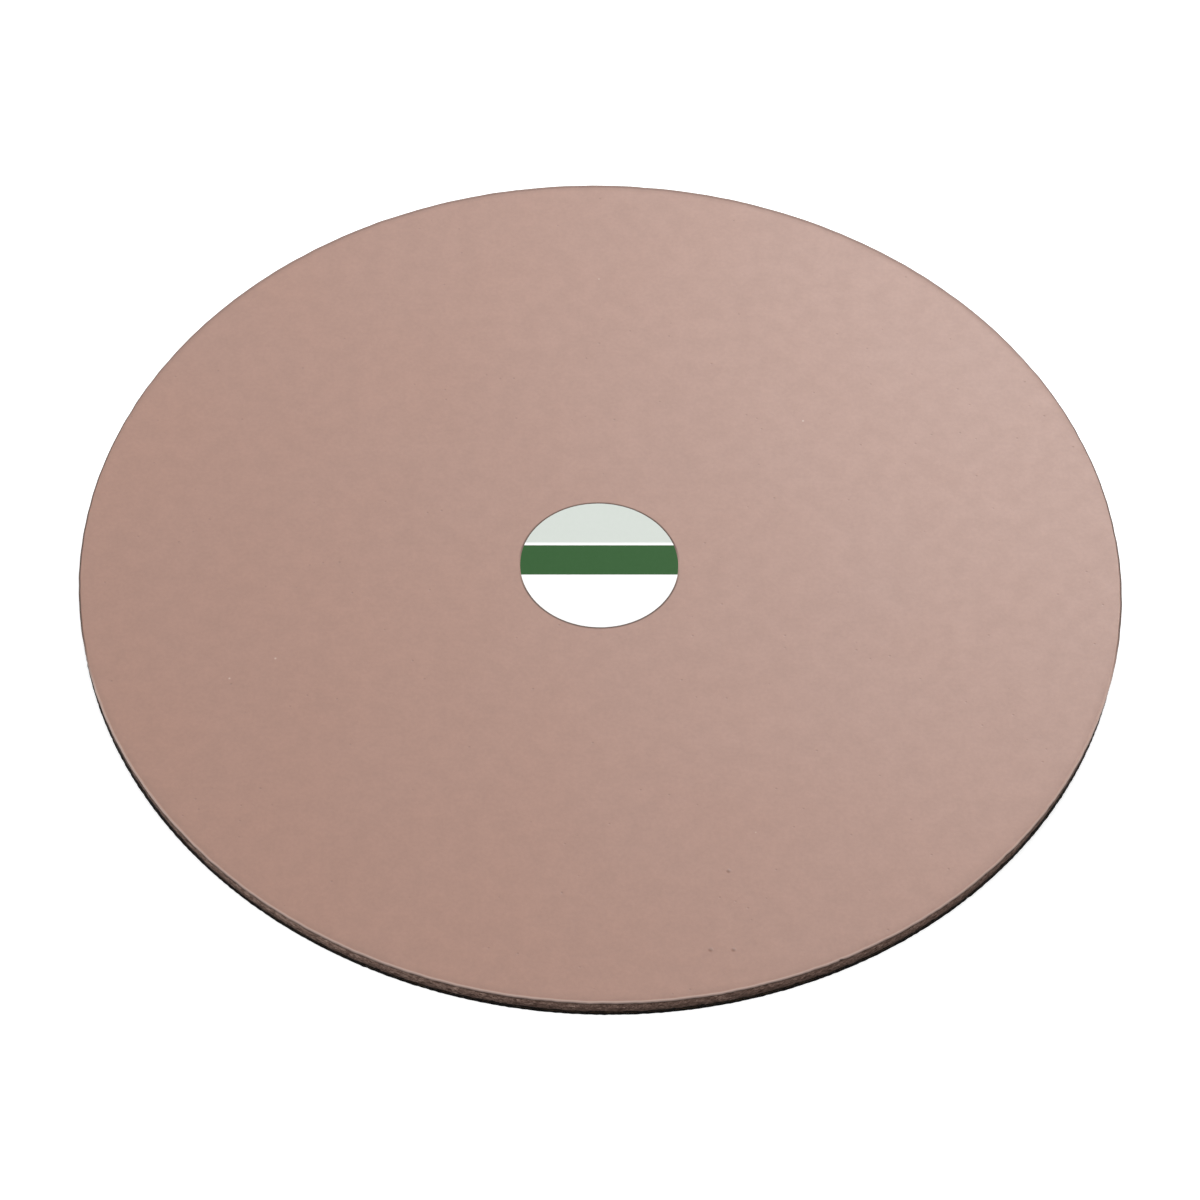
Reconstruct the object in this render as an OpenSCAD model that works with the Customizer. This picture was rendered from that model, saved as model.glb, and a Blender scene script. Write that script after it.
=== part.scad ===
// Round cork plant mat: pressed cork sealed between two plastic films and cut out as a disc.
// Millimetres. The underside lies on Z = 0 and the middle of the mat is on the Z axis.

/* [Mat] */
// Diameter over the rim
mat_d = 355.6; // [150:0.1:600]

/* [Rim] */
// Radius over which the cut rounds the top edge
rim_r = 0.8; // [0.7:0.05:1.5]
// How far round that radius the film is drawn down before the knife parts it, in degrees
film_wrap = 80; // [40:1:85]
// How far the cut wall leans in between the rim and the underside
cut_lean = 0.4; // [0:0.05:0.8]

/* [Top film] */
// Thickness of the waterproof film on top
top_film_t = 0.4; // [0.2:0.05:0.5]

/* [Cork core] */
// Thickness of the pressed cork
core_t = 5.9; // [3:0.05:12]
// How far the cut cork stands back from the films
core_setback = 0.1; // [0:0.05:0.3]

/* [Adhesive] */
// Thickness of each hot-melt layer between the cork and a film
adhesive_t = 0.1; // [0.05:0.01:0.15]

/* [Bottom film] */
// Thickness of the dark film underneath
bottom_film_t = 1; // [0.3:0.05:1.5]
// Radius of the lower edge of the bottom film
bottom_edge_r = 0.15; // [0.05:0.05:0.3]

/* [Label] */
// Diameter of the round paper label in the middle of the mat
label_d = 54; // [20:0.5:120]
// Thickness of the paper with its gum
label_t = 0.1; // [0.06:0.01:0.3]
// Depth of the land where the grain of the film is pressed flat under the label
land_depth = 0.05; // [0.02:0.01:0.1]
// Width of the pressed land that shows round the label
land_margin = 0.3; // [0.1:0.1:2]

/* [Hidden] */
$fn = 180;

// Levels, from the underside up
lower_adhesive_z = bottom_film_t;
core_z = lower_adhesive_z + adhesive_t;
mat_t = core_z + core_t + adhesive_t + top_film_t;
rim_z = mat_t - rim_r;
land_z = mat_t - land_depth;

// Radii, from the middle out
land_r = label_d / 2 + land_margin;
mat_r = mat_d / 2;
rim_centre_r = mat_r - rim_r;

// Depth of the cork below the outside of the top film, square to it
core_inset = top_film_t + adhesive_t;

// Radius of the cut wall at a level below the rim
function wall_r(z) = mat_r - cut_lean * (1 - z / rim_z);

// Quarter of a disc, from its centre out along +X and +Y
module quarter_round(r) {
    intersection() {
        circle(r);
        square(r);
    }
}

// Half section of the mat from the foot of the rounded rim up, drawn in by one inset
module crown_section(inset) {
    translate([0, rim_z])
        square([rim_centre_r, rim_r - inset]);
    translate([rim_centre_r, rim_z])
        quarter_round(rim_r - inset);
}

// The side of that half section that the film covers, parted along the knife's cut square to the rim
module film_side() {
    reach = 2 * rim_r;
    cut_r = rim_centre_r + reach * sin(film_wrap);
    polygon([
        [0, rim_z],
        [rim_centre_r, rim_z],
        [cut_r, rim_z + reach * cos(film_wrap)],
        [cut_r, rim_z + reach],
        [0, rim_z + reach]
    ]);
}

// Half section of one even layer that lies across the top and part of the way round the rim
module wrapped_layer_section(inset, thickness) {
    intersection() {
        difference() {
            crown_section(inset);
            crown_section(inset + thickness);
        }
        film_side();
    }
}

// Half section of one flat layer between two levels, ended by the cut wall less an inset
module cut_layer_section(bottom, top, inset) {
    polygon([
        [0, bottom],
        [wall_r(bottom) - inset, bottom],
        [wall_r(top) - inset, top],
        [0, top]
    ]);
}

// Waterproof film, with the pressed land for the label in its top face
module top_film() {
    color("#b9998d")
        difference() {
            rotate_extrude()
                wrapped_layer_section(0, top_film_t);
            translate([0, 0, land_z])
                cylinder(h = top_film_t, r = land_r);
        }
}

// Hot-melt layer under the top film
module upper_adhesive() {
    color("#cdbb98")
        rotate_extrude()
            wrapped_layer_section(top_film_t, adhesive_t);
}

// Pressed cork: a shoulder under the film, a ledge that its cut edge is bedded on, and the cut wall
module cork_core() {
    color("#7d6350")
        rotate_extrude() {
            crown_section(core_inset);
            difference() {
                crown_section(core_setback);
                film_side();
            }
            cut_layer_section(core_z, rim_z, core_setback);
        }
}

// Hot-melt layer under the cork
module lower_adhesive() {
    color("#cdbb98")
        rotate_extrude()
            cut_layer_section(lower_adhesive_z, core_z, core_setback);
}

// Dark film that lies on the floor, its lower edge eased by the cut
module bottom_film() {
    foot_r = wall_r(bottom_edge_r) - bottom_edge_r;
    color("#2a2523")
        rotate_extrude() {
            cut_layer_section(bottom_edge_r, bottom_film_t, 0);
            square([foot_r, bottom_edge_r]);
            translate([foot_r, bottom_edge_r])
                mirror([0, 1])
                    quarter_round(bottom_edge_r);
        }
}

// Paper label, gummed to the land
module label() {
    color("#eef2ec")
        translate([0, 0, land_z])
            cylinder(h = label_t, d = label_d);
}

top_film();
upper_adhesive();
cork_core();
lower_adhesive();
bottom_film();
label();
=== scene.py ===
"""Looks of a round cork plant mat, built round its solids: sealing films, cut cork and a paper label."""
import math

import bpy
import numpy as np
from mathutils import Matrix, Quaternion, Vector


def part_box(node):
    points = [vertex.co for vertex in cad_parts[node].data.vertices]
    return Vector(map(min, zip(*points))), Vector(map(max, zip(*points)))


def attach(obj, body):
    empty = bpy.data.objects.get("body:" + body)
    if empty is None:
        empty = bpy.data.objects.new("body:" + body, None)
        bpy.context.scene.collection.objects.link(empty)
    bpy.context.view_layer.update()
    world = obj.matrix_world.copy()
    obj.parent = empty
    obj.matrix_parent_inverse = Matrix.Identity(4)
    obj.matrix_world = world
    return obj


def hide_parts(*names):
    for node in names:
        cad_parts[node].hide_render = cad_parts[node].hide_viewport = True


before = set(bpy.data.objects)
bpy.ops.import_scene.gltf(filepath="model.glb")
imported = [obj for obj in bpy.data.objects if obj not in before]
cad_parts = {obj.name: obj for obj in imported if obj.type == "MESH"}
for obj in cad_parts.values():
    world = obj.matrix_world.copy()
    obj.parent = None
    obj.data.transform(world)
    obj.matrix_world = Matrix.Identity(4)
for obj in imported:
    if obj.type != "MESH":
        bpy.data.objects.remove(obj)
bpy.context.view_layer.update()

MM = 0.001
QUARTER_TURN = math.pi / 2
SEED = 5
rng = np.random.default_rng(SEED)


# Measures taken from the solids

# How near a corner of a solid lies to the level that it is looked for at
LEVEL_REACH = 0.001 * MM


def corners(node):
    """Radius and height of every corner of a node that is round about +Z."""
    return [(math.hypot(v.co.x, v.co.y), v.co.z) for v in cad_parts[node].data.vertices]


def outer_corner(node):
    """Radius and height of the corner that lies furthest out."""
    return max(corners(node))


def node_radius(node):
    """Radius of a round node. Its corners lie on the true circle, which its box can miss."""
    return outer_corner(node)[0]


def face_radii(node, level):
    """Least and greatest radius of a node's flat face at one level."""
    radii = [radius for radius, height in corners(node) if abs(height - level) < LEVEL_REACH]
    return min(radii), max(radii)


# Levels of the layers, and their radii and thicknesses
film_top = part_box("top_film")[1].z
film_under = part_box("upper_adhesive")[1].z
core_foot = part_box("cork_core")[0].z
core_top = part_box("cork_core")[1].z
backing_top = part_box("bottom_film")[1].z
land_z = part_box("label")[0].z
label_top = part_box("label")[1].z
core_r = node_radius("cork_core")
label_r = node_radius("label")
film_t = film_top - film_under
core_inset = film_top - core_top

# The rounded rim, as an arc from the edge of the flat face to the lip of the film
land_r, rim_centre = face_radii("top_film", film_top)
lip_r, lip_z = outer_corner("top_film")
lip_out = lip_r - rim_centre
lip_drop = film_top - lip_z
rim_radius = (lip_out ** 2 + lip_drop ** 2) / (2 * lip_drop)
film_wrap = math.acos(1 - lip_drop / rim_radius)
rim_foot = film_top - rim_radius
mat_r = rim_centre + rim_radius

# The cut wall, which leans in from the foot of the rim
wall_slope = (mat_r - node_radius("bottom_film")) / (rim_foot - backing_top)


def wall_radius(height):
    """Radius of the cut wall at a height below the rim."""
    return mat_r - wall_slope * (rim_foot - height)


# The cork's edge: how far it stands back, the height of its wall and the radius of its shoulder
core_setback = mat_r - core_r
core_wall_h = rim_foot - core_foot
core_arc_r = rim_radius - core_setback

# Radius of the eased lower edge, from how far inside the wall the flat foot ends
backing_edge = (wall_radius(0.0) - face_radii("bottom_film", 0.0)[1]) / (1 - wall_slope)


# Places on the mat

# The front of the rim, as the sine of the angle where it starts and the step over which it fades in
FRONT_SINE = -0.12
FRONT_FADE = 0.2

# The two sides, as angles from the front where they start and end and the angle over which they fade
FRONT_ANGLE = math.radians(-90)
SIDE_FROM = math.radians(42)
SIDE_TO = math.radians(80)
SIDE_FADE = math.radians(16)

# How far from the middle of the mat the label was laid
LABEL_OFF = (-0.7 * MM, 0.5 * MM)


def ease(share):
    """A share held between 0 and 1 and eased at both ends."""
    share = np.clip(share, 0, 1)
    return share * share * (3 - 2 * share)


def off_from(angle, middle):
    """An angle measured from another, from minus half a turn to half a turn."""
    return (angle - middle + math.pi) % math.tau - math.pi


def front_share(angle):
    """1 round the front of the rim and 0 round the back."""
    return ease((FRONT_SINE - np.sin(angle)) / FRONT_FADE)


def back_share(angle):
    """0 round the front, rising to 1 at the middle of the back."""
    return ease(np.sin(angle))


def side_share(angle):
    """1 at the two sides and 0 at the front and back."""
    off = np.abs(off_from(angle, FRONT_ANGLE))
    return ease((off - SIDE_FROM) / SIDE_FADE) * (1 - ease((off - SIDE_TO) / SIDE_FADE))


def off_middle(angle):
    """How much further out a circle round the label lies, at an angle, than one round the mat."""
    return LABEL_OFF[0] * np.cos(angle) + LABEL_OFF[1] * np.sin(angle)


# Unevenness left by the press and the knife

# Waves, as the turns round the rim or the lengths that they range over and their root mean square heights
WAVES = 24
LIP_TURNS = (90, 420)
LIP_WAVE = math.radians(2.5)
CUT_TURNS = (5, 160)
CUT_WAVE = 0.035 * MM
BACKING_TURNS = (60, 500)
BACKING_WAVE = 0.04 * MM
FILM_SWELL_LENGTHS = (40 * MM, 120 * MM)
FILM_SWELL = 0.02 * MM
LABEL_SWELL_LENGTHS = (12 * MM, 40 * MM)
LABEL_SWELL = 0.008 * MM

# Three shallow lobes, deeper at the foot than at the rim, and a lean a little above the nominal
LOBES = 3
LOBE_ANGLE = math.radians(-74)
LOBE_RIM = 0.12 * MM
LOBE_FOOT = 0.26 * MM
LEAN_MORE = 0.06 * MM

# A nick that a corner has left in the edge of the film
NICK_ANGLE = math.radians(-65.1)
NICK_WIDTH = 0.5 * MM
NICK_TURN = math.radians(30)


def sum_of_waves(run, phase, height):
    """The sum of equal waves whose root mean square height is the given one."""
    return height * math.sqrt(2 / WAVES) * np.cos(run + phase).sum(-1)


def rim_wave(turns, height):
    """Waviness round the rim as a function of the angle, with whole turns in the given range."""
    count = rng.integers(turns[0], turns[1], WAVES)
    phase = rng.uniform(0, math.tau, WAVES)

    def wave(angle):
        return sum_of_waves(np.multiply.outer(angle, count), phase, height)

    return wave


def swell(lengths, height):
    """Low waves across a face as a function of x and y, with wave lengths in the given range."""
    way = rng.uniform(0, math.tau, WAVES)
    pace = math.tau / rng.uniform(lengths[0], lengths[1], WAVES)
    phase = rng.uniform(0, math.tau, WAVES)

    def wave(x, y):
        run = np.multiply.outer(x, np.cos(way) * pace) + np.multiply.outer(y, np.sin(way) * pace)
        return sum_of_waves(run, phase, height)

    return wave


lip_wave = rim_wave(LIP_TURNS, LIP_WAVE)
cut_wave = rim_wave(CUT_TURNS, CUT_WAVE)
backing_wave = rim_wave(BACKING_TURNS, BACKING_WAVE)
film_swell = swell(FILM_SWELL_LENGTHS, FILM_SWELL)
label_swell = swell(LABEL_SWELL_LENGTHS, LABEL_SWELL)


def lip_turn(angle):
    """How far round the rim the film reaches at an angle, with the nick taken out."""
    nick = NICK_TURN * np.exp(-(off_from(angle, NICK_ANGLE) * mat_r / NICK_WIDTH) ** 2)
    return film_wrap + lip_wave(angle) - nick


def lobes(angle, height):
    """How far the lobes and the added lean move the cut out at an angle and a height."""
    down = np.clip(1 - height / rim_foot, 0, 1)
    reach = LOBE_RIM + (LOBE_FOOT - LOBE_RIM) * down
    return reach * np.cos(LOBES * (angle - LOBE_ANGLE)) - LEAN_MORE * down


# Mesh tools

# Least angle between two faces that meet in a sharp edge
SHARP_EDGE = math.radians(40)

# Steps of the arcs that lie hidden between the film and the cork
HIDDEN_ARC_STEPS = 3


def segment_angles(segments):
    """The angles of the segments that a ring is divided into."""
    return np.arange(segments) * math.tau / segments


def ring(radius, height, segments):
    """One ring of a turned mesh: radius and height at every segment."""
    return np.stack(np.broadcast_arrays(radius, height, np.zeros(segments))[:2], -1)


def rim_ring(depth, turn, shift, segments):
    """A ring on the rounded rim, at a depth below its outside and turned down from straight up."""
    reach = rim_radius - depth
    return ring(rim_centre + shift + reach * np.sin(turn), rim_foot + reach * np.cos(turn), segments)


def turned_mesh(name, rings, material, attributes=None, middle=(0.0, 0.0), sharp=SHARP_EDGE):
    """A closed mesh turned about an upright axis, from rings that run from the foot out and up."""
    rings = np.array(rings)
    count, segments = rings.shape[:2]
    angle = segment_angles(segments)
    x = middle[0] + rings[..., 0] * np.cos(angle)
    y = middle[1] + rings[..., 0] * np.sin(angle)
    ends = np.array([[*middle, rings[0, :, 1].mean()], [*middle, rings[-1, :, 1].mean()]])
    points = np.concatenate([np.stack([x, y, rings[..., 1]], -1).reshape(-1, 3), ends])
    here = np.arange(segments)
    after = np.roll(here, -1)
    low = (np.arange(count - 1) * segments)[:, None]
    quads = np.stack([low + here, low + after, low + segments + after, low + segments + here], -1)
    foot = count * segments
    last = foot - segments
    foot_fan = np.stack([np.full(segments, foot), after, here], -1)
    top_fan = np.stack([np.full(segments, foot + 1), last + here, last + after], -1)
    faces = quads.reshape(-1, 4).tolist() + foot_fan.tolist() + top_fan.tolist()
    mesh = bpy.data.meshes.new(name)
    mesh.from_pydata(points.tolist(), [], faces)
    for key, values in (attributes or {}).items():
        layer = mesh.attributes.new(key, "FLOAT", "POINT")
        whole = np.concatenate([np.array(values).reshape(-1), [values[0][0], values[-1][0]]])
        layer.data.foreach_set("value", whole.astype(np.float32))
    mesh.shade_smooth()
    mesh.set_sharp_from_angle(angle=sharp)
    mesh.materials.append(material)
    piece = bpy.data.objects.new(name, mesh)
    bpy.context.scene.collection.objects.link(piece)
    return piece


def place(piece, node):
    """The piece stands for its solid and rides on the only body."""
    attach(piece, "root")
    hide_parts(node)


# Node tools

# Range that most of a noise lies in
NOISE_RANGE = (0.3, 0.7)

# Sockets of the node that mixes colours: its share, its two colours and its result
MIX_SHARE = 0
MIX_FIRST = 6
MIX_SECOND = 7
MIX_RESULT = 2

# Share of a dot's radius inside which it is full
DOT_CORE = 0.3

# Specular level of a surface that has no other
PLAIN_SPECULAR = 0.5


def colour(red, green, blue):
    """A solid colour in linear light."""
    return (red, green, blue, 1.0)


WHITE = colour(1.0, 1.0, 1.0)


def new_material(name):
    """A material with its node tree and its surface shader."""
    material = bpy.data.materials.new(name)
    material.use_nodes = True
    return material, material.node_tree, material.node_tree.nodes["Principled BSDF"]


def dress(tree, shader, base, rough, normal, specular=PLAIN_SPECULAR):
    """Gives a surface its colour, roughness, relief and specular level."""
    for name, socket in (("Base Color", base), ("Roughness", rough), ("Normal", normal)):
        tree.links.new(socket, shader.inputs[name])
    shader.inputs["Specular IOR Level"].default_value = specular


def add_node(tree, kind, inputs, **settings):
    """A shader node with its settings and inputs. An input that is a socket is linked."""
    made = tree.nodes.new("ShaderNode" + kind)
    for key, value in settings.items():
        setattr(made, key, value)
    for key, value in inputs.items():
        if isinstance(value, bpy.types.NodeSocket):
            tree.links.new(value, made.inputs[key])
        else:
            made.inputs[key].default_value = value
    return made


def object_place(tree):
    """The place on the piece that is being shaded."""
    return add_node(tree, "TexCoord", {}).outputs["Object"]


def along_axis(tree, where, axis):
    """How far along one axis a place lies."""
    return add_node(tree, "SeparateXYZ", {"Vector": where}).outputs[axis]


def attribute(tree, name):
    """A value that the mesh holds at its points."""
    return add_node(tree, "Attribute", {}, attribute_name=name).outputs["Fac"]


def math_node(tree, operation, first, second):
    """The result of one operation on two values."""
    return add_node(tree, "Math", {0: first, 1: second}, operation=operation).outputs[0]


def add_share(tree, value, mask, share):
    """A value with a share of a mask added to it."""
    return math_node(tree, "ADD", value, math_node(tree, "MULTIPLY", mask, share))


def spread(tree, value, low, high, to_low, to_high):
    """Maps a value from one range to another, eased and held at both ends."""
    inputs = {"Value": value, "From Min": low, "From Max": high, "To Min": to_low, "To Max": to_high}
    return add_node(tree, "MapRange", inputs, interpolation_type="SMOOTHSTEP").outputs["Result"]


def noise(tree, where, size, detail, roughness):
    """Cloudy noise from 0 to 1 whose marks are about the given size across."""
    inputs = {"Vector": where, "Scale": 1 / size, "Detail": detail, "Roughness": roughness}
    return add_node(tree, "TexNoise", inputs).outputs["Fac"]


def spread_noise(tree, value, to_low, to_high):
    """Maps the range that most of a noise lies in to another range."""
    return spread(tree, value, *NOISE_RANGE, to_low, to_high)


def dots(tree, where, spacing, radius, share):
    """Round dots of 0 to 1 in some of the cells of a random net."""
    cells = add_node(tree, "TexVoronoi", {"Vector": where, "Scale": 1 / spacing})
    core = DOT_CORE * radius / spacing
    dot = spread(tree, cells.outputs["Distance"], core, radius / spacing, 1.0, 0.0)
    pick = add_node(tree, "SeparateColor", {"Color": cells.outputs["Color"]}).outputs["Red"]
    return math_node(tree, "MULTIPLY", dot, math_node(tree, "LESS_THAN", pick, share))


def spots(tree, where, places, radius):
    """Round spots of 0 to 1 at the given places on the top face."""
    mask = 0.0
    for x, y in places:
        gap = add_node(tree, "VectorMath", {0: where, 1: (x, y, film_top)}, operation="DISTANCE")
        mask = math_node(tree, "ADD", spread(tree, gap.outputs["Value"], 0.0, radius, 1.0, 0.0), mask)
    return mask


def blend(tree, share, first, second, blend_type="MIX"):
    """Two colours blended by a share of 0 to 1."""
    inputs = {MIX_SHARE: share, MIX_FIRST: first, MIX_SECOND: second}
    made = add_node(tree, "Mix", inputs, data_type="RGBA", blend_type=blend_type)
    return made.outputs[MIX_RESULT]


def tint(tree, base, mask, strength, shade):
    """A base colour with another laid over it, at some strength, where a mask is 1."""
    return blend(tree, math_node(tree, "MULTIPLY", mask, strength), base, shade)


def ramp(tree, value, stops):
    """The colour at a value of 0 to 1, from stops that are a place and a colour each."""
    made = add_node(tree, "ValToRGB", {"Fac": value})
    elements = made.color_ramp.elements
    for element, (position, shade) in zip(elements, (stops[0], stops[-1])):
        element.position = position
        element.color = shade
    for position, shade in stops[1:-1]:
        elements.new(position).color = shade
    return made.outputs["Color"]


def bump(tree, height, depth):
    """The normal of a surface with a relief of the given depth."""
    return add_node(tree, "Bump", {"Height": height, "Distance": depth, "Strength": 1.0}).outputs["Normal"]


# Top film

# How fine the mesh is
FILM_SEGMENTS = 2000
FILM_TOP_RINGS = 25
FILM_ARC_STEPS = 10

# Noises in the film, from the broad cloud in its colour down to its pressed grain
FILM_CLOUD = {"size": 60 * MM, "detail": 3, "roughness": 0.5}
FILM_MOTTLE = {"size": 7 * MM, "detail": 4, "roughness": 0.6}
FILM_GRAIN = {"size": 1.5 * MM, "detail": 3, "roughness": 0.65}

# Random pits and dust, each in a share of the cells of a net
FILM_PITS = {"spacing": 5 * MM, "radius": 0.55 * MM, "share": 0.35}
FILM_DUST = {"spacing": 16 * MM, "radius": 0.45 * MM, "share": 0.08}

# Marks at known places from the middle: bumps over proud granules and flecks of dust
BUMPS = ((39.8 * MM, -126.8 * MM), (33.1 * MM, -157.6 * MM), (40.5 * MM, -157.6 * MM))
BUMP_RADIUS = 1.1 * MM
FLECKS = ((-125.1 * MM, -48.1 * MM), (-110.0 * MM, -39.7 * MM), (71.5 * MM, 65.0 * MM))
FLECK_RADIUS = 0.6 * MM

# The two colours that the film clouds between, and the factors by which mottle and grain change them
FILM_COLOURS = (colour(0.3075, 0.167, 0.1223), colour(0.2945, 0.167, 0.1277))
FILM_LIGHT = (0.965, 1.035)

# Tints of the marks, as strengths and colours
PIT_TINT = (0.3, colour(0.15, 0.084, 0.064))
BUMP_TINT = (0.65, colour(0.13, 0.058, 0.04))
DUST_TINT = (0.5, colour(0.62, 0.5, 0.44))
# The next tint is the painted highlight round the front of the rim
PAINTED_HIGHLIGHT_TINT = (0.6, colour(0.54, 0.4, 0.35))
# The next tint is painted shade on the rim and round the label
PAINTED_SHADE_TINT = (0.85, colour(0.06, 0.037, 0.029))

# Roughness where the mottle is low and high, and what the painted highlight and the painted shade add to it
FILM_ROUGH = (0.411, 0.389)
PAINTED_HIGHLIGHT_ROUGH = -0.1
PAINTED_SHADE_ROUGH = 0.3

# Depth of the grain, and heights of the other marks against it
FILM_RELIEF = 0.016 * MM
MOTTLE_HEIGHT = 2.5
PIT_HEIGHT = -2.5
BUMP_HEIGHT = 4.4

# Round the front the film's edge carries a painted highlight, in full from a share of the way down on
PAINTED_HIGHLIGHT_FROM = 0.3

# There its lip carries painted shade from a share of the way down on, which is put off at the two sides
LIP_DARK_FROM = 0.38
LIP_DELAY_LEFT = 0.42
LIP_DELAY_RIGHT = 0.2

# Round the back and sides the edge carries painted shade, in full from a share of the way down on and in
# part above
EDGE_DARK_FROM = 0.3
EDGE_DARK_BACK = 0.45

# Faint band of painted shade just inside the rim, as distances in from it and strengths at the front and at
# the back
PAINTED_SHADE_BAND = ((0.4 * MM, 0.13, EDGE_DARK_BACK), (0.9 * MM, 0.09, 0.14), (2.4 * MM, 0.0, 0.0))

# Share of the way across the face over which its swell fades at the rim and at the label
SWELL_FADE = 0.25

# The ring of painted shadow at the step down round the label, which fades at its sides, and the slope down
# to the land
RING_WIDTH = 0.5 * MM
RING_FADE = 0.4
LAND_SLOPE = 0.03 * MM


def film_material():
    """Pinkish-brown film with a pressed grain, pits and a few marks, a painted highlight round the front of
    its edge where it is also glossier, and painted shade on the rim and round the label.
    """
    material, tree, shader = new_material("sealing_film")
    where = object_place(tree)
    cloud = noise(tree, where, **FILM_CLOUD)
    mottle = noise(tree, where, **FILM_MOTTLE)
    grain = noise(tree, where, **FILM_GRAIN)
    pits = dots(tree, where, **FILM_PITS)
    bumps = spots(tree, where, BUMPS, BUMP_RADIUS)
    flecks = spots(tree, where, FLECKS, FLECK_RADIUS)
    dust = math_node(tree, "MAXIMUM", dots(tree, where, **FILM_DUST), flecks)
    drawn = attribute(tree, "drawn")
    painted_shade = attribute(tree, "painted_shade")

    light = spread_noise(tree, mottle, *FILM_LIGHT)
    light = math_node(tree, "MULTIPLY", light, spread_noise(tree, grain, *FILM_LIGHT))
    grey = add_node(tree, "CombineColor", {0: light, 1: light, 2: light}).outputs[0]
    base = blend(tree, 1.0, blend(tree, cloud, *FILM_COLOURS), grey, "MULTIPLY")
    base = tint(tree, base, pits, *PIT_TINT)
    base = tint(tree, base, bumps, *BUMP_TINT)
    base = tint(tree, base, dust, *DUST_TINT)
    # Painted highlight round the front of the rim
    base = tint(tree, base, drawn, *PAINTED_HIGHLIGHT_TINT)
    # Painted shade on the rim and round the label
    base = tint(tree, base, painted_shade, *PAINTED_SHADE_TINT)

    rough = add_share(tree, spread_noise(tree, mottle, *FILM_ROUGH), drawn, PAINTED_HIGHLIGHT_ROUGH)
    rough = add_share(tree, rough, painted_shade, PAINTED_SHADE_ROUGH)
    relief = add_share(tree, grain, mottle, MOTTLE_HEIGHT)
    relief = add_share(tree, relief, pits, PIT_HEIGHT)
    relief = add_share(tree, relief, bumps, BUMP_HEIGHT)
    dress(tree, shader, base, rough, bump(tree, relief, FILM_RELIEF))
    return material


def edge_marks(angle, share):
    """How much painted highlight and how much painted shade the film has, at a share of the way from its
    face down to its lip.
    """
    front = front_share(angle)
    delay = np.where(off_from(angle, FRONT_ANGLE) < 0, LIP_DELAY_LEFT, LIP_DELAY_RIGHT)
    lip_from = LIP_DARK_FROM + delay * side_share(angle)
    lip_dark = ease((share - lip_from) / (1 - lip_from))
    edge_dark = np.maximum(ease(share / EDGE_DARK_FROM), EDGE_DARK_BACK * back_share(angle))
    return front * ease(share / PAINTED_HIGHLIGHT_FROM), front * lip_dark + (1 - front) * edge_dark


def make_top_film():
    """The film: its underside, the cut lip, the rounded rim, the face and the land under the label."""
    angle = segment_angles(FILM_SEGMENTS)
    lip = lip_turn(angle)
    shift = cut_wave(angle) + lobes(angle, rim_foot)
    aside = off_middle(angle)
    rings = []
    drawn = []
    painted_shade = []

    def add(made, drawn_share=0.0, shade_share=0.0):
        """One more ring, with how much painted highlight and painted shade the film has there."""
        rings.append(made)
        drawn.append(np.broadcast_to(drawn_share, FILM_SEGMENTS))
        painted_shade.append(np.broadcast_to(shade_share, FILM_SEGMENTS))

    add(ring(rim_centre + shift, film_under, FILM_SEGMENTS))
    for step in range(1, HIDDEN_ARC_STEPS + 1):
        add(rim_ring(film_t, lip * step / HIDDEN_ARC_STEPS, shift, FILM_SEGMENTS), drawn_share=1.0)
    # The rim's arc carries the painted highlight and the painted shade from edge_marks
    for step in range(FILM_ARC_STEPS + 1):
        share = 1 - step / FILM_ARC_STEPS
        add(rim_ring(0.0, lip * share, shift, FILM_SEGMENTS), *edge_marks(angle, share))
    # A faint band of painted shade just inside the rim
    for inside, at_front, at_back in PAINTED_SHADE_BAND:
        strength = at_front * front_share(angle) + at_back * back_share(angle)
        add(ring(rim_centre - inside + shift, film_top, FILM_SEGMENTS), shade_share=strength)
    face_r = land_r + RING_WIDTH
    for step in range(1, FILM_TOP_RINGS + 1):
        share = step / FILM_TOP_RINGS
        radius = rim_centre + (face_r - rim_centre) * share
        fade = min(1.0, share / SWELL_FADE, (1 - share) / SWELL_FADE)
        height = film_top + fade * film_swell(radius * np.cos(angle), radius * np.sin(angle))
        add(ring(radius + shift * (1 - share) + aside * share, height, FILM_SEGMENTS))
    # Painted shadow at the step down to the land round the label, fading at the sides
    ring_shade = ease(np.abs(np.sin(angle)) / RING_FADE)
    add(ring(land_r + aside, film_top, FILM_SEGMENTS), shade_share=ring_shade)
    add(ring(land_r - LAND_SLOPE + aside, land_z, FILM_SEGMENTS), shade_share=ring_shade)
    marks = {"drawn": drawn, "painted_shade": painted_shade}
    place(turned_mesh("sealing_film", rings, film_material(), marks), "top_film")


# Cork core

# How fine the mesh is, and the least angle of its sharp edges
CORE_SEGMENTS = 3200
CORE_WALL_ROWS = 22
CORE_ARC_ROWS = 2
CORK_SHARP_EDGE = math.radians(75)

# Granules, pressed flat: their mean size, and how much they differ in place, size and level
GRANULE_LENGTH = 1.3 * MM
GRANULE_HEIGHT = 0.65 * MM
GRANULE_JITTER = 0.85
GRANULE_SIZES = (0.75, 1.35)
GRANULE_LIFT = 0.05 * MM

# Half of a cell of the net that the granules lie in, the cells looked at round each, and the spare rows
HALF_CELL = 0.5
NEAR_CELLS = range(-2, 3)
MARGIN_ROWS = 3

# Grooves between granules, as wide as a share of a granule, and places where a granule is torn out
GROOVE_DEPTH = 0.08 * MM
GROOVE_SHARE = 0.22
TORN_SHARE = 0.07
TORN_DEPTH = 0.2 * MM
TORN_TONE = 0.35

# Share of the unevenness that is left where the cork meets the film
SEAM_LIFT = 0.3

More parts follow.
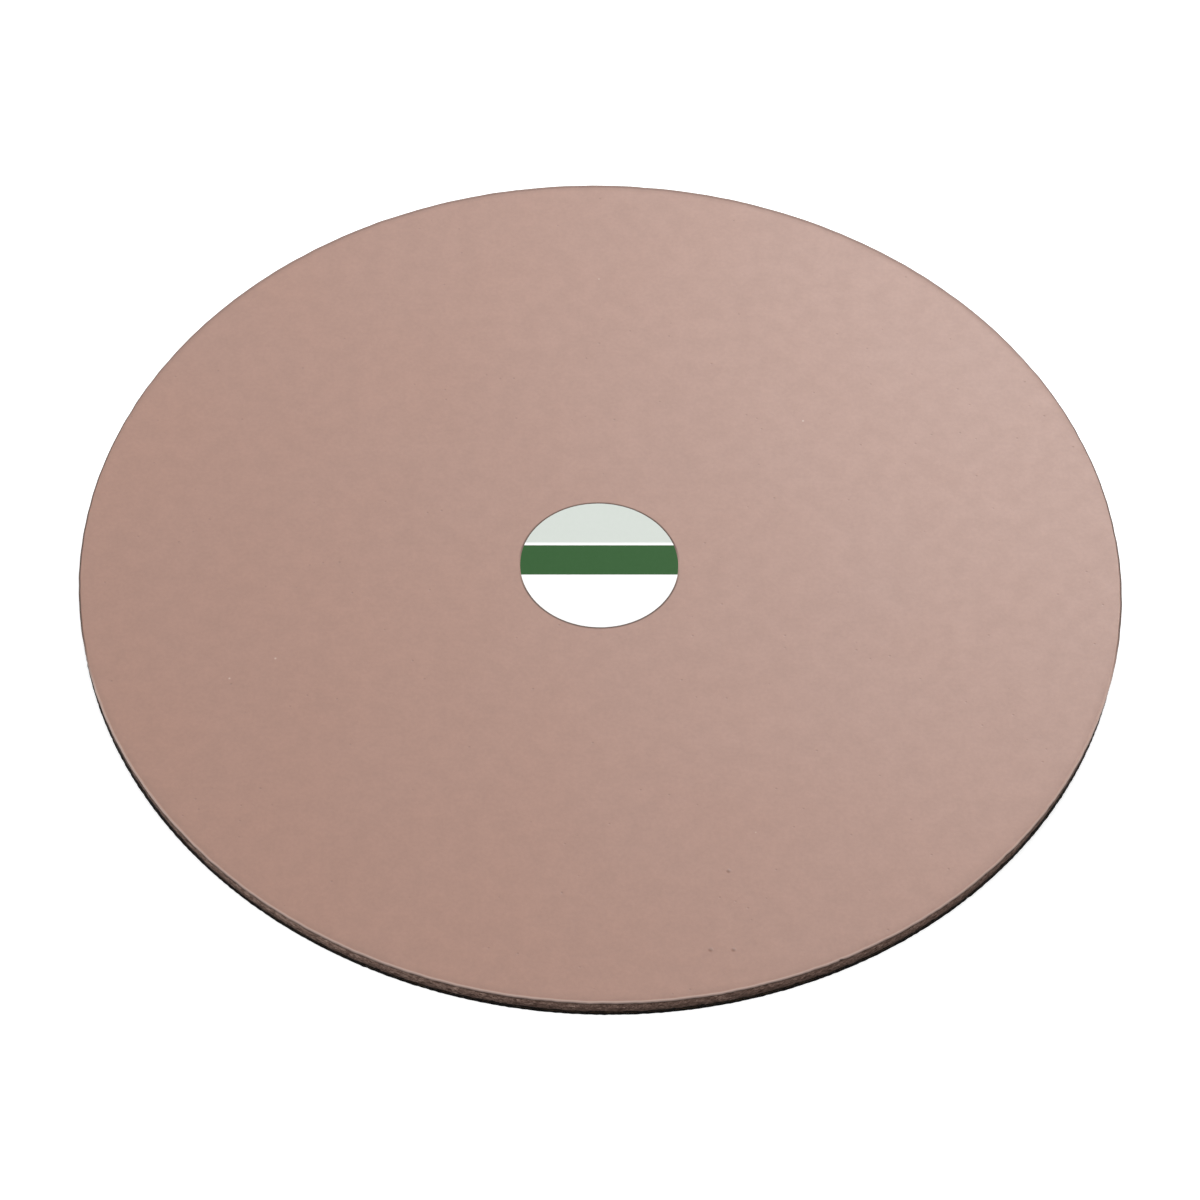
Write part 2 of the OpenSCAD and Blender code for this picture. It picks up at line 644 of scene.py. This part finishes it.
# The beta curve that the tones of granules are drawn from, and the tone of the hidden ledge
TONE_CURVE = (7.0, 8.2)
HIDDEN_TONE = 0.5

# A stretch of the edge, at the front left, where the cork wall carries painted light
LIT_WALL_ANGLE = math.radians(-125)
LIT_WALL_WIDTH = math.radians(27)
LIT_WALL_TONE = 0.25

# Colours from the darkest tone to the palest, and the fine fibre that moves the tone up and down
CORK_STOPS = (
    (0.0, colour(0.032, 0.0171, 0.0126)),
    (0.3, colour(0.087, 0.0513, 0.0398)),
    (0.65, colour(0.157, 0.0985, 0.079)),
    (1.0, colour(0.314, 0.218, 0.178)),
)
CORK_FIBRE = {"size": 0.5 * MM, "detail": 3, "roughness": 0.6}
FIBRE_RANGE = (0.25, 0.75)
FIBRE_TONE = 0.12

# Dark binder in the grooves, as a strength and a colour
GROOVE_TINT = (0.75, colour(0.02, 0.012, 0.009))

# Shade up from the foot, over a share of the cork's height, and just under the lip of the film
CORK_SHADE = colour(0.012, 0.008, 0.006)
FOOT_SHARE = 0.75
FOOT_SHADE = 0.64
LIP_SHADE_HEIGHT = 1.2 * MM
LIP_SHADE = 0.55

# Painted shadow at the foot of the cork: its colour and strength, and the heights up to which it is full
# and where it ends
FOOT_SHADOW_COLOUR = colour(0.002, 0.0016, 0.0014)
FOOT_SHADOW_STRENGTH = 0.97
FOOT_SHADOW_FULL = 0.55 * MM
FOOT_SHADOW_END = 0.75 * MM

# How much higher the painted shadow reaches at random places and at the two sides, where the wall is
# painted as in shade
FOOT_SHADOW_NOISE = {"size": 4 * MM, "detail": 3, "roughness": 0.6}
FOOT_SHADOW_RAGGED = 0.35 * MM
FOOT_SHADOW_SIDE = 1.5 * MM

# Roughness where the fibre is low and high, depth of the fibre and specular level
CORK_ROUGH = (0.72, 0.92)
CORK_RELIEF = 0.06 * MM
CORK_SPECULAR = 0.05


def cork_material():
    """Pressed cork: bark-brown to tan granules with dark binder between them, painted shade near the foot
    and under the lip, painted black shadow at the foot and painted light on a stretch at the front left.
    """
    material, tree, shader = new_material("pressed_cork")
    where = object_place(tree)
    height = along_axis(tree, where, "Z")
    fibre = noise(tree, where, **CORK_FIBRE)
    fibre_tone = spread(tree, fibre, *FIBRE_RANGE, -FIBRE_TONE, FIBRE_TONE)
    base = ramp(tree, math_node(tree, "ADD", attribute(tree, "tone"), fibre_tone), CORK_STOPS)
    base = tint(tree, base, attribute(tree, "groove"), *GROOVE_TINT)

    foot_top = core_foot + FOOT_SHARE * (core_top - core_foot)
    base = blend(tree, spread(tree, height, core_foot, foot_top, FOOT_SHADE, 0.0), base, CORK_SHADE)
    # Painted black shadow at the foot, ragged and reaching higher at the two sides
    ragged = spread_noise(tree, noise(tree, where, **FOOT_SHADOW_NOISE), 0.0, FOOT_SHADOW_RAGGED)
    above = math_node(tree, "SUBTRACT", height, ragged)
    above = add_share(tree, above, attribute(tree, "side"), -FOOT_SHADOW_SIDE)
    foot_shadow = spread(tree, above, core_foot + FOOT_SHADOW_FULL, core_foot + FOOT_SHADOW_END, FOOT_SHADOW_STRENGTH, 0.0)
    base = blend(tree, foot_shadow, base, FOOT_SHADOW_COLOUR)
    under_lip = spread(tree, height, rim_foot - LIP_SHADE_HEIGHT, rim_foot, 0.0, LIP_SHADE)
    base = blend(tree, under_lip, base, CORK_SHADE)

    rough = spread_noise(tree, fibre, *CORK_ROUGH)
    dress(tree, shader, base, rough, bump(tree, fibre, CORK_RELIEF), CORK_SPECULAR)
    return material


def granules(along, up):
    """Granule tone, groove between granules and lift of the cut face, at places along and up the edge."""
    columns = round(math.tau * core_r / GRANULE_LENGTH)
    rows = math.ceil(up.max() / GRANULE_HEIGHT) + 2 * MARGIN_ROWS
    jitter = rng.uniform(-HALF_CELL, HALF_CELL, (2, rows, columns)) * GRANULE_JITTER
    size = rng.uniform(GRANULE_SIZES[0], GRANULE_SIZES[1], (rows, columns))
    at_column = along / (math.tau * core_r) * columns
    at_row = up / GRANULE_HEIGHT + MARGIN_ROWS
    column = np.floor(at_column).astype(int)
    row = np.floor(at_row).astype(int)
    nearest = np.full(up.shape, np.inf)
    second = np.full(up.shape, np.inf)
    owner = np.zeros(up.shape, int)
    for rows_up in NEAR_CELLS:
        for columns_on in NEAR_CELLS:
            near_row = row + rows_up
            near_column = (column + columns_on) % columns
            stagger = HALF_CELL * (near_row % 2)
            middle_column = column + columns_on + HALF_CELL + stagger + jitter[0, near_row, near_column]
            middle_row = near_row + HALF_CELL + jitter[1, near_row, near_column]
            gap = np.hypot(at_column - middle_column, at_row - middle_row) / size[near_row, near_column]
            closer = gap < nearest
            second = np.where(closer, nearest, np.minimum(second, gap))
            owner = np.where(closer, near_row * columns + near_column, owner)
            nearest = np.minimum(nearest, gap)
    groove = 1 - ease((second - nearest) / GROOVE_SHARE)
    tone = rng.beta(*TONE_CURVE, rows * columns)[owner]
    level = rng.uniform(-1, 1, rows * columns)[owner]
    torn = (rng.random(rows * columns) < TORN_SHARE)[owner]
    lift = GRANULE_LIFT * level - GROOVE_DEPTH * groove - TORN_DEPTH * torn * (1 - groove)
    return np.where(torn, TORN_TONE * tone, tone), groove, lift


def cut_rows(lip):
    """Turn round the rim and height up the cut, for each row up the wall and on to the lip of the film."""
    turns = []
    heights = []
    for step in range(CORE_WALL_ROWS):
        turns.append(np.full(CORE_SEGMENTS, QUARTER_TURN))
        heights.append(np.full(CORE_SEGMENTS, core_wall_h * step / CORE_WALL_ROWS))
    for step in range(CORE_ARC_ROWS + 1):
        turn = QUARTER_TURN + (lip - QUARTER_TURN) * step / CORE_ARC_ROWS
        turns.append(turn)
        heights.append(core_wall_h + core_arc_r * (QUARTER_TURN - turn))
    return np.array(turns), np.array(heights)


def make_cork_core():
    """The cork with its cut wall and shoulder broken into granules, and the hidden ledge under the film."""
    angle = segment_angles(CORE_SEGMENTS)
    lip = lip_turn(angle)
    turns, heights = cut_rows(lip)
    tone, groove, lift = granules(np.broadcast_to(angle * core_r, heights.shape), heights)
    # Painted light on the cut wall at the front left
    tone = tone + LIT_WALL_TONE * np.exp(-(off_from(angle, LIT_WALL_ANGLE) / LIT_WALL_WIDTH) ** 2)
    lift[-1] = np.minimum(lift[-1], 0) * SEAM_LIFT
    reach = core_arc_r + lift
    on_wall = heights < core_wall_h
    wall = wall_radius(core_foot + heights) - core_setback + lift
    shift = cut_wave(angle) + lobes(angle, core_foot + heights)
    radius = shift + np.where(on_wall, wall, rim_centre + reach * np.sin(turns))
    height = np.where(on_wall, core_foot + heights, rim_foot + reach * np.cos(turns))
    rings = list(np.stack([radius, height], -1))
    for step in range(HIDDEN_ARC_STEPS + 1):
        share = 1 - step / HIDDEN_ARC_STEPS
        rings.append(rim_ring(core_inset, lip * share, shift[-1], CORE_SEGMENTS))
    hidden = np.zeros((HIDDEN_ARC_STEPS + 1, CORE_SEGMENTS))
    layers = {
        "tone": np.concatenate([tone, hidden + HIDDEN_TONE]),
        "groove": np.concatenate([groove, hidden]),
        "side": np.broadcast_to(side_share(angle), (len(rings), CORE_SEGMENTS)),
    }
    core = turned_mesh("cut_cork", rings, cork_material(), layers, sharp=CORK_SHARP_EDGE)
    place(core, "cork_core")


# Bottom film

# How fine the mesh is
BACKING_SEGMENTS = 2000
BACKING_EDGE_STEPS = 4
BACKING_WALL_STEPS = 2

# How far the knife has pressed the lower edge out
BACKING_FLARE = 0.1 * MM

# Scuffs, the range of their noise that shows and its greatest share, and the fine grain
BACKING_SCUFF = {"size": 14 * MM, "detail": 5, "roughness": 0.65}
SCUFF_RANGE = (0.5, 0.75)
SCUFF_SHARE = 0.6
BACKING_GRAIN = {"size": 0.8 * MM, "detail": 2, "roughness": 0.6}

# Colours plain and scuffed, roughness where scuffs are low and high, depth of the grain and specular level
# The plain colour is near black, darker than the film alone would be, so that the foot of the mat also
# carries painted shadow
BACKING_COLOURS = (colour(0.002, 0.0016, 0.0014), colour(0.008, 0.0066, 0.0058))
BACKING_ROUGH = (0.6, 0.75)
BACKING_RELIEF = 0.03 * MM
BACKING_SPECULAR = 0.04


def backing_material():
    """Near-black film with a fine pressed grain, scuffed a little paler where it has lain on floors; its
    blackness is partly painted shadow at the foot.
    """
    material, tree, shader = new_material("backing_film")
    where = object_place(tree)
    scuff = noise(tree, where, **BACKING_SCUFF)
    grain = noise(tree, where, **BACKING_GRAIN)
    share = math_node(tree, "MULTIPLY", spread(tree, scuff, *SCUFF_RANGE, 0.0, SCUFF_SHARE), grain)
    base = blend(tree, share, *BACKING_COLOURS)
    rough = spread_noise(tree, scuff, *BACKING_ROUGH)
    dress(tree, shader, base, rough, bump(tree, grain, BACKING_RELIEF), BACKING_SPECULAR)
    return material


def make_bottom_film():
    """The dark film on the floor, with its eased lower edge and ragged cut."""
    angle = segment_angles(BACKING_SEGMENTS)
    ragged = backing_wave(angle)
    rings = []
    for step in range(BACKING_EDGE_STEPS + 1):
        turn = QUARTER_TURN * step / BACKING_EDGE_STEPS
        height = backing_edge * (1 - math.cos(turn))
        radius = wall_radius(backing_edge) - backing_edge + backing_edge * math.sin(turn) + BACKING_FLARE
        rings.append(ring(radius + ragged + lobes(angle, height), height, BACKING_SEGMENTS))
    for step in range(1, BACKING_WALL_STEPS + 1):
        share = step / BACKING_WALL_STEPS
        height = backing_edge + share * (backing_top - backing_edge)
        radius = wall_radius(height) + BACKING_FLARE * (1 - share)
        rings.append(ring(radius + ragged + lobes(angle, height), height, BACKING_SEGMENTS))
    place(turned_mesh("backing_film", rings, backing_material()), "bottom_film")


# Label

# How fine the mesh is
LABEL_SEGMENTS = 360
LABEL_RINGS = 8

# Heights of the printed bands up from the middle of the label, and half the width of a printed edge
CAP_FOOT = 9.7 * MM
BAND_TOP = 8.55 * MM
BAND_FOOT = -4.3 * MM
PRINT_EDGE = 0.05 * MM

# Fibre of the paper and unevenness of the ink, with the two colours that each print ranges between
PAPER_FIBRE = {"size": 0.5 * MM, "detail": 4, "roughness": 0.65}
PAPER_COLOURS = (colour(0.86, 0.86, 0.85), colour(0.9, 0.9, 0.89))
INK_NOISE = {"size": 1.2 * MM, "detail": 3, "roughness": 0.6}
CAP_COLOURS = (colour(0.536, 0.575, 0.536), colour(0.563, 0.6, 0.563))
BAND_COLOURS = (colour(0.021, 0.081, 0.0195), colour(0.0253, 0.0917, 0.0238))

# Roughness where the fibre is low and high, depth of the fibre and specular level
LABEL_ROUGH = (0.4, 0.5)
LABEL_RELIEF = 0.006 * MM
LABEL_SPECULAR = 0.1


def label_material():
    """Coated paper printed with a pale cap and one green band."""
    material, tree, shader = new_material("label_paper")
    where = object_place(tree)
    up = math_node(tree, "SUBTRACT", along_axis(tree, where, "Y"), LABEL_OFF[1])
    fibre = noise(tree, where, **PAPER_FIBRE)
    ink = noise(tree, where, **INK_NOISE)

    def above(level):
        """1 above a level on the label and 0 below it."""
        return spread(tree, up, level - PRINT_EDGE, level + PRINT_EDGE, 0.0, 1.0)

    band = math_node(tree, "SUBTRACT", above(BAND_FOOT), above(BAND_TOP))
    base = blend(tree, fibre, *PAPER_COLOURS)
    base = blend(tree, above(CAP_FOOT), base, blend(tree, ink, *CAP_COLOURS))
    base = blend(tree, band, base, blend(tree, ink, *BAND_COLOURS))
    rough = spread_noise(tree, fibre, *LABEL_ROUGH)
    dress(tree, shader, base, rough, bump(tree, fibre, LABEL_RELIEF), LABEL_SPECULAR)
    return material


def make_label():
    """The paper label, pressed on not quite flat."""
    angle = segment_angles(LABEL_SEGMENTS)
    rings = [ring(label_r, land_z, LABEL_SEGMENTS)]
    for step in range(LABEL_RINGS):
        radius = label_r * (1 - step / LABEL_RINGS)
        height = label_top + label_swell(radius * np.cos(angle), radius * np.sin(angle))
        rings.append(ring(radius, height, LABEL_SEGMENTS))
    paper = turned_mesh("paper_label", rings, label_material(), middle=LABEL_OFF)
    place(paper, "label")


# Adhesive layers

# Flow of the melt between two colours, and the small bubbles in it
MELT_FLOW = {"size": 5 * MM, "detail": 3, "roughness": 0.5}
MELT_COLOURS = (colour(0.05, 0.03, 0.015), colour(0.08, 0.05, 0.026))
MELT_BUBBLES = {"spacing": 2.5 * MM, "radius": 0.5 * MM, "share": 0.5}
BUBBLE_COLOUR = colour(0.11, 0.08, 0.05)

# Roughness where the flow is low and high, and height of the bubbles
MELT_ROUGH = (0.25, 0.4)
MELT_RELIEF = 0.02 * MM


def adhesive_material():
    """Amber hot melt with small bubbles."""
    material, tree, shader = new_material("hot_melt")
    where = object_place(tree)
    flow = noise(tree, where, **MELT_FLOW)
    bubbles = dots(tree, where, **MELT_BUBBLES)
    base = blend(tree, bubbles, blend(tree, flow, *MELT_COLOURS), BUBBLE_COLOUR)
    dress(tree, shader, base, spread_noise(tree, flow, *MELT_ROUGH), bump(tree, bubbles, MELT_RELIEF))
    return material


def make_lower_adhesive(material):
    """The hot melt under the cork, parted by the same cut."""
    angle = segment_angles(BACKING_SEGMENTS)
    rings = []
    for height in (backing_top, core_foot):
        radius = wall_radius(height) - core_setback + lobes(angle, height)
        rings.append(ring(radius, height, BACKING_SEGMENTS))
    place(turned_mesh("lower_melt", rings, material), "lower_adhesive")


def dress_upper_adhesive(material):
    """The hot melt under the top film keeps its solid, as none of it shows."""
    upper_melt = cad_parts["upper_adhesive"]
    upper_melt.data.materials.clear()
    upper_melt.data.materials.append(material)


# Floor, light and camera

# A wide floor, in metres, a hair below the mat
FLOOR_SIDE = 12.0
FLOOR_DROP = 0.05 * MM
FLOOR_COLOUR = colour(0.85, 0.85, 0.85)
FLOOR_ROUGHNESS = 0.9
FLOOR_GLOW = 0.55

# Strength of the white sky
SKY_STRENGTH = 0.35

# Soft lights: where they hang and how wide and deep they are, in metres, and their radiance
SOFTBOXES = {
    "overhead": {"at": (-0.119, -0.697, 2.0), "width": 3.4, "depth": 1.8, "radiance": 1.598},
    "back_right": {"at": (0.555, 1.442, 1.422), "width": 0.845, "depth": 0.845, "radiance": 10.963},
    "back_left": {"at": (-0.537, 1.663, 1.165), "width": 1.1, "depth": 1.1, "radiance": 2.242},
}

# The camera as the outline of the mat gives it: how it stands and aims, and its lens in millimetres
CAMERA_RISE = math.radians(51.593)
CAMERA_TURN = math.radians(1.950)
CAMERA_ROLL = math.radians(1.528)
CAMERA_DISTANCE = 1638.7 * MM
CAMERA_AIM = (-0.44 * MM, -8.87 * MM, 0.0)
CAMERA_LENS = 143.47
CAMERA_SENSOR = 36.0


def make_floor():
    """A pale floor that glows a little, as a lit sweep does, so that it stays white beside the mat."""
    half = FLOOR_SIDE / 2
    points = [(-half, -half, -FLOOR_DROP), (half, -half, -FLOOR_DROP),
              (half, half, -FLOOR_DROP), (-half, half, -FLOOR_DROP)]
    mesh = bpy.data.meshes.new("floor")
    mesh.from_pydata(points, [], [(0, 1, 2, 3)])
    floor = bpy.data.objects.new("floor", mesh)
    bpy.context.scene.collection.objects.link(floor)
    material, _, shader = new_material("floor")
    shader.inputs["Base Color"].default_value = FLOOR_COLOUR
    shader.inputs["Roughness"].default_value = FLOOR_ROUGHNESS
    shader.inputs["Specular IOR Level"].default_value = 0.0
    shader.inputs["Emission Color"].default_value = WHITE
    shader.inputs["Emission Strength"].default_value = FLOOR_GLOW
    mesh.materials.append(material)


def make_world():
    """An even white sky."""
    world = bpy.data.worlds.new("studio")
    world.use_nodes = True
    sky = world.node_tree.nodes["Background"]
    sky.inputs["Color"].default_value = WHITE
    sky.inputs["Strength"].default_value = SKY_STRENGTH
    bpy.context.scene.world = world


def make_softbox(name, at, width, depth, radiance):
    """A rectangular soft light of even radiance that faces the middle of the mat."""
    data = bpy.data.lights.new(name, "AREA")
    data.shape = "RECTANGLE"
    data.size = width
    data.size_y = depth
    data.energy = radiance * math.pi * width * depth
    lamp = bpy.data.objects.new(name, data)
    lamp.location = at
    lamp.rotation_mode = "QUATERNION"
    lamp.rotation_quaternion = (-Vector(at)).to_track_quat("-Z", "Y")
    bpy.context.scene.collection.objects.link(lamp)


def make_camera():
    """The camera, with the photograph's place, lens and roll."""
    data = bpy.data.cameras.new("camera")
    data.sensor_width = CAMERA_SENSOR
    data.lens = CAMERA_LENS
    camera = bpy.data.objects.new("camera", data)
    level = CAMERA_DISTANCE * math.cos(CAMERA_RISE)
    rise = CAMERA_DISTANCE * math.sin(CAMERA_RISE)
    stand = Vector((-level * math.sin(CAMERA_TURN), -level * math.cos(CAMERA_TURN), rise))
    look = (Vector(CAMERA_AIM) - stand).to_track_quat("-Z", "Y")
    camera.location = stand
    camera.rotation_mode = "QUATERNION"
    camera.rotation_quaternion = look @ Quaternion((0, 0, 1), CAMERA_ROLL)
    bpy.context.scene.collection.objects.link(camera)
    bpy.context.scene.camera = camera


# Making the mat and its setting

make_top_film()
make_cork_core()
make_bottom_film()
make_label()
hot_melt = adhesive_material()
make_lower_adhesive(hot_melt)
dress_upper_adhesive(hot_melt)

make_floor()
make_world()
for light_name, light in SOFTBOXES.items():
    make_softbox(light_name, **light)
make_camera()
bpy.context.scene.view_settings.view_transform = "Standard"
